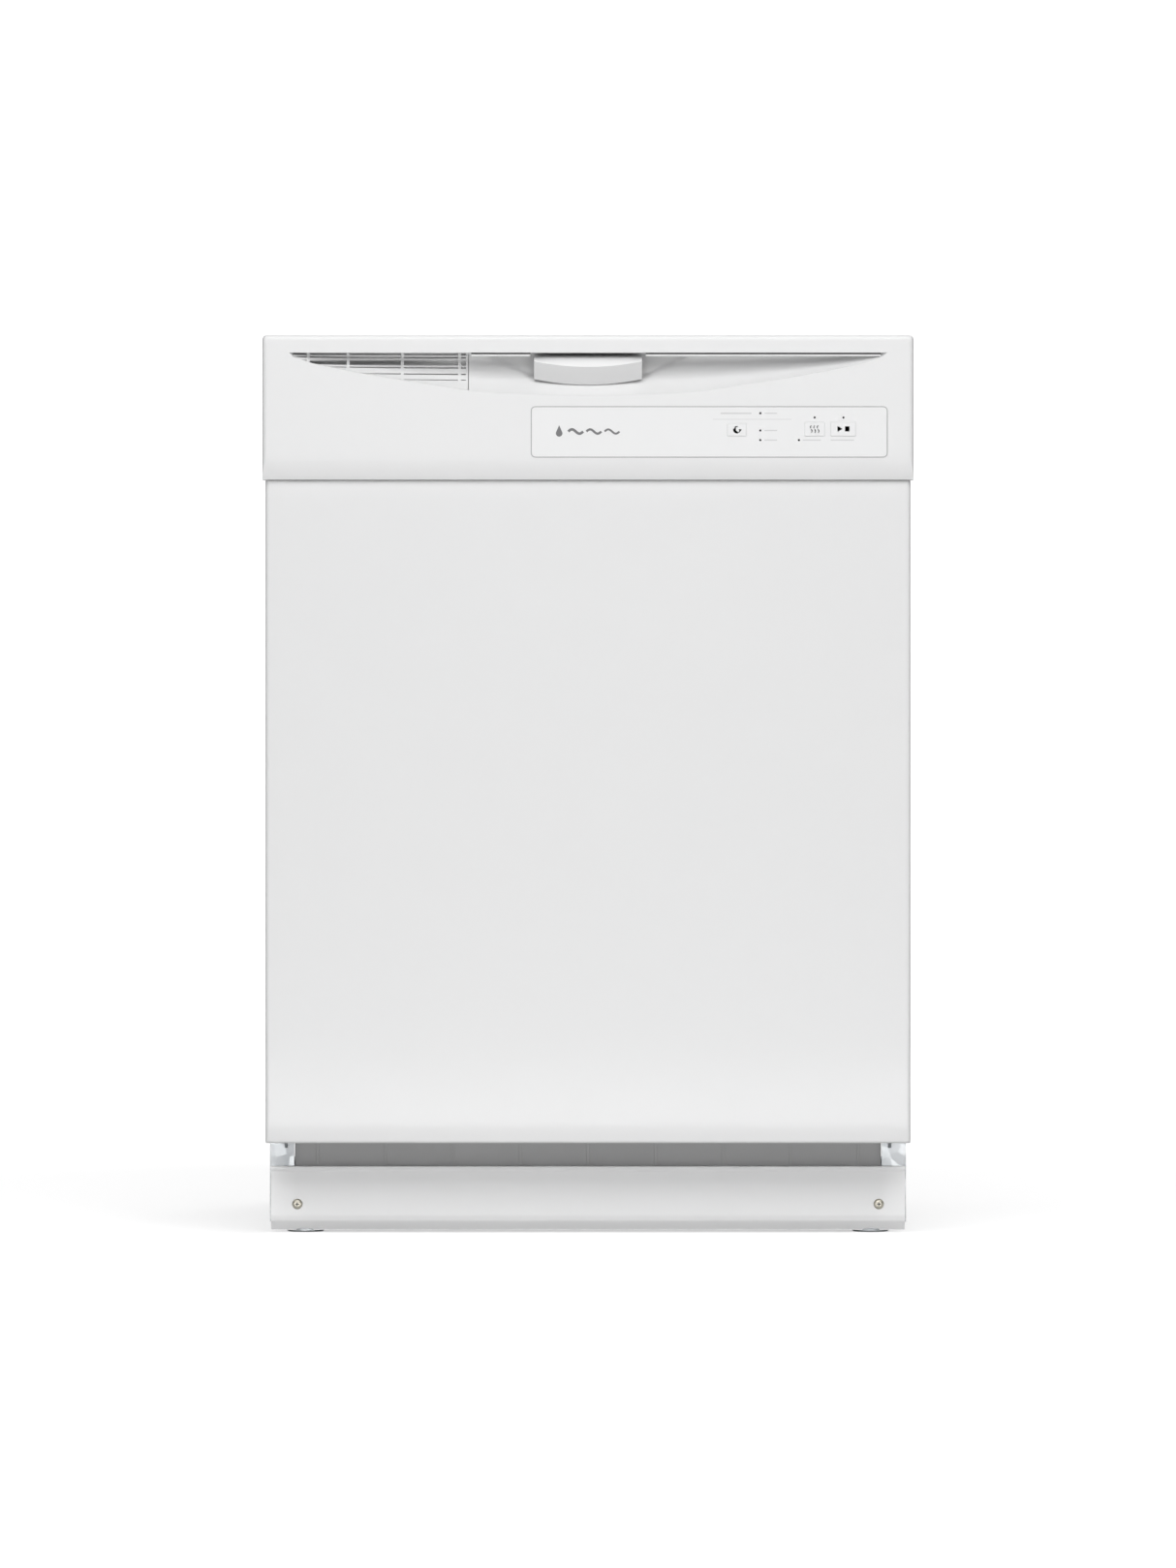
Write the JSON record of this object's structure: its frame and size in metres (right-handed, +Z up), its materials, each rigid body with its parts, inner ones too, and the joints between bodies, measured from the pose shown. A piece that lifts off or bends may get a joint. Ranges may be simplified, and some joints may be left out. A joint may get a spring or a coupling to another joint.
{
  "type": "built in dishwasher",
  "caption": "Front-control under-counter dishwasher with a white drop-down door, a recessed grip with latch handle, sliding racks, spray arms and leveling legs.",
  "frame": {"origin": "on the floor, at the centre of the footprint", "axes": "+Z up, -Y out of the front face, +X to the right as seen from the front"},
  "size_m": [0.61, 0.635, 0.845],
  "materials": {
    "white_enamel": "white enamelled sheet steel, satin gloss",
    "console_white": "white moulded plastic, fine satin",
    "overlay_white": "white printed overlay film",
    "tub_plastic": "light grey moulded polypropylene",
    "wash_plastic": "grey moulded polypropylene",
    "fitting_white": "natural white acetal",
    "rack_coating": "blue-grey nylon coated steel wire",
    "galvanised_steel": "galvanised sheet steel with a fine spangle",
    "zinc_steel": "zinc plated steel",
    "stainless_steel": "bright stainless steel",
    "dark_panel": "dark grey painted steel",
    "black_rubber": "matte black rubber",
    "black_plastic": "black moulded plastic",
    "sound_blanket": "dark fibrous sound blanket"
  },
  "bodies": {
    "base": {"tub": "tub_plastic", "tub_gasket": "black_rubber", "insulation_blanket": "sound_blanket", "left_counter_bracket": "galvanised_steel", "right_counter_bracket": "galvanised_steel", "left_base_rail": "galvanised_steel", "right_base_rail": "galvanised_steel", "rear_crossmember": "galvanised_steel", "access_panel": "dark_panel", "kick_plate": "white_enamel", "left_kick_screw": "stainless_steel", "right_kick_screw": "stainless_steel", "left_door_spring": "stainless_steel", "right_door_spring": "stainless_steel", "sump": "black_plastic", "circulation_motor": "galvanised_steel", "drain_pump": "black_plastic", "inlet_valve": "fitting_white", "fill_hose": "black_rubber", "junction_box": "galvanised_steel", "heating_element": "stainless_steel", "float_guide": "fitting_white", "spray_feed_tube": "wash_plastic", "top_spray_nozzle": "wash_plastic"},
    "door": {"door_outer_panel": "white_enamel", "door_liner": "tub_plastic", "console": "console_white", "console_fascia": "overlay_white", "vent_grille": "console_white", "control_board_box": "black_plastic", "left_hinge_arm": "galvanised_steel", "right_hinge_arm": "galvanised_steel", "detergent_dispenser": "wash_plastic"},
    "handle": {"latch_handle": "console_white"},
    "hook": {"latch_hook": "galvanised_steel"},
    "cycle_key": {"cycle_button": "overlay_white"},
    "heat_dry_key": {"heat_dry_button": "overlay_white"},
    "start_key": {"start_cancel_button": "overlay_white"},
    "lid": {"detergent_lid": "wash_plastic"},
    "rinse_cap": {"rinse_aid_cap": "wash_plastic"},
    "rails": {"left_rack_rail": "stainless_steel", "right_rack_rail": "stainless_steel"},
    "left_roller": {"left_rail_roller": "fitting_white"},
    "right_roller": {"right_rail_roller": "fitting_white"},
    "top_rack": {"upper_rack": "rack_coating", "upper_arm_feed": "wash_plastic"},
    "upper_arm": {"upper_spray_arm": "wash_plastic"},
    "bottom_rack": {"lower_rack": "rack_coating"},
    "wheel_front_left": {"lower_wheel_front_left": "wash_plastic"},
    "wheel_front_right": {"lower_wheel_front_right": "wash_plastic"},
    "wheel_rear_left": {"lower_wheel_rear_left": "wash_plastic"},
    "wheel_rear_right": {"lower_wheel_rear_right": "wash_plastic"},
    "basket": {"silverware_basket": "wash_plastic"},
    "lower_arm": {"lower_spray_arm": "wash_plastic"},
    "filter": {"filter_cup": "wash_plastic"},
    "float": {"float_dome": "fitting_white"},
    "leg_front_left": {"leveling_leg_front_left": "zinc_steel"},
    "leg_front_right": {"leveling_leg_front_right": "zinc_steel"},
    "leg_rear_left": {"leveling_leg_rear_left": "zinc_steel"},
    "leg_rear_right": {"leveling_leg_rear_right": "zinc_steel"}
  },
  "joints": [
    {"name": "door_hinge", "type": "hinge", "parent": "base", "child": "door", "pos_m": [0, -0.2655, 0.1], "axis": [1, 0, 0], "range_deg": [0, 90], "stiffness_Nm_per_rad": 16},
    {"name": "handle_pull", "type": "hinge", "parent": "door", "child": "handle", "pos_m": [0, -0.298, 0.823], "axis": [-1, 0, 0], "range_deg": [0, 18], "stiffness_Nm_per_rad": 0.6},
    {"name": "hook_lift", "type": "hinge", "parent": "door", "child": "hook", "pos_m": [0, -0.28, 0.828], "axis": [1, 0, 0], "range_deg": [0, 5.5]},
    {"name": "cycle_press", "type": "slide", "parent": "door", "child": "cycle_key", "axis": [0, 1, 0], "range_m": [0, 0.001], "stiffness_N_per_m": 1500},
    {"name": "heat_dry_press", "type": "slide", "parent": "door", "child": "heat_dry_key", "axis": [0, 1, 0], "range_m": [0, 0.001], "stiffness_N_per_m": 1500},
    {"name": "start_press", "type": "slide", "parent": "door", "child": "start_key", "axis": [0, 1, 0], "range_m": [0, 0.001], "stiffness_N_per_m": 1500},
    {"name": "lid_open", "type": "hinge", "parent": "door", "child": "lid", "pos_m": [-0.031, -0.2725, 0.347], "axis": [-1, 0, 0], "range_deg": [0, 100]},
    {"name": "rinse_cap_turn", "type": "hinge", "parent": "door", "child": "rinse_cap", "pos_m": [0.042, -0.27, 0.39], "axis": [0, 1, 0], "range_deg": [0, 90]},
    {"name": "rail_slide", "type": "slide", "parent": "base", "child": "rails", "axis": [0, -1, 0], "range_m": [0, 0.229]},
    {"name": "left_roller_spin", "type": "hinge", "parent": "base", "child": "left_roller", "pos_m": [-0.2735, -0.225, 0.5875], "axis": [1, 0, 0], "continuous": true},
    {"name": "right_roller_spin", "type": "hinge", "parent": "base", "child": "right_roller", "pos_m": [0.2735, -0.225, 0.5875], "axis": [1, 0, 0], "continuous": true},
    {"name": "upper_rack_slide", "type": "slide", "parent": "rails", "child": "top_rack", "axis": [0, -1, 0], "range_m": [0, 0.229]},
    {"name": "upper_arm_spin", "type": "hinge", "parent": "top_rack", "child": "upper_arm", "pos_m": [0, 0.02, 0.445], "axis": [0, 0, 1], "continuous": true},
    {"name": "lower_rack_slide", "type": "slide", "parent": "base", "child": "bottom_rack", "axis": [0, -1, 0], "range_m": [0, 0.189]},
    {"name": "wheel_spin_front_left", "type": "hinge", "parent": "bottom_rack", "child": "wheel_front_left", "pos_m": [-0.269, -0.1455, 0.1375], "axis": [1, 0, 0], "continuous": true},
    {"name": "wheel_spin_front_right", "type": "hinge", "parent": "bottom_rack", "child": "wheel_front_right", "pos_m": [0.269, -0.1455, 0.1375], "axis": [1, 0, 0], "continuous": true},
    {"name": "wheel_spin_rear_left", "type": "hinge", "parent": "bottom_rack", "child": "wheel_rear_left", "pos_m": [-0.269, 0.2, 0.1375], "axis": [1, 0, 0], "continuous": true},
    {"name": "wheel_spin_rear_right", "type": "hinge", "parent": "bottom_rack", "child": "wheel_rear_right", "pos_m": [0.269, 0.2, 0.1375], "axis": [1, 0, 0], "continuous": true},
    {"name": "basket_lift", "type": "slide", "parent": "bottom_rack", "child": "basket", "axis": [0, 0, 1], "range_m": [0, 0.09]},
    {"name": "lower_arm_spin", "type": "hinge", "parent": "base", "child": "lower_arm", "pos_m": [0, 0.02, 0.146], "axis": [0, 0, 1], "continuous": true},
    {"name": "filter_turn", "type": "hinge", "parent": "base", "child": "filter", "pos_m": [0.052, 0.02, 0.1], "axis": [0, 0, 1], "range_deg": [0, 90]},
    {"name": "float_rise", "type": "slide", "parent": "base", "child": "float", "axis": [0, 0, 1], "range_m": [0, 0.012]},
    {"name": "leg_extend_front_left", "type": "slide", "parent": "base", "child": "leg_front_left", "axis": [0, 0, -1], "range_m": [0, 0.045]},
    {"name": "leg_extend_front_right", "type": "slide", "parent": "base", "child": "leg_front_right", "axis": [0, 0, -1], "range_m": [0, 0.045]},
    {"name": "leg_extend_rear_left", "type": "slide", "parent": "base", "child": "leg_rear_left", "axis": [0, 0, -1], "range_m": [0, 0.045]},
    {"name": "leg_extend_rear_right", "type": "slide", "parent": "base", "child": "leg_rear_right", "axis": [0, 0, -1], "range_m": [0, 0.045]}
  ],
  "couplings": [
    {"joint": "hook_lift", "follows": "handle_pull", "ratio": 0.3},
    {"joint": "rail_slide", "follows": "door_hinge", "m_per_rad": 0.145},
    {"joint": "upper_rack_slide", "follows": "door_hinge", "m_per_rad": 0.145},
    {"joint": "lower_rack_slide", "follows": "door_hinge", "m_per_rad": 0.12},
    {"joint": "wheel_spin_front_left", "follows": "door_hinge", "ratio": 7.5},
    {"joint": "wheel_spin_front_right", "follows": "door_hinge", "ratio": 7.5},
    {"joint": "wheel_spin_rear_left", "follows": "door_hinge", "ratio": 7.5},
    {"joint": "wheel_spin_rear_right", "follows": "door_hinge", "ratio": 7.5}
  ]
}
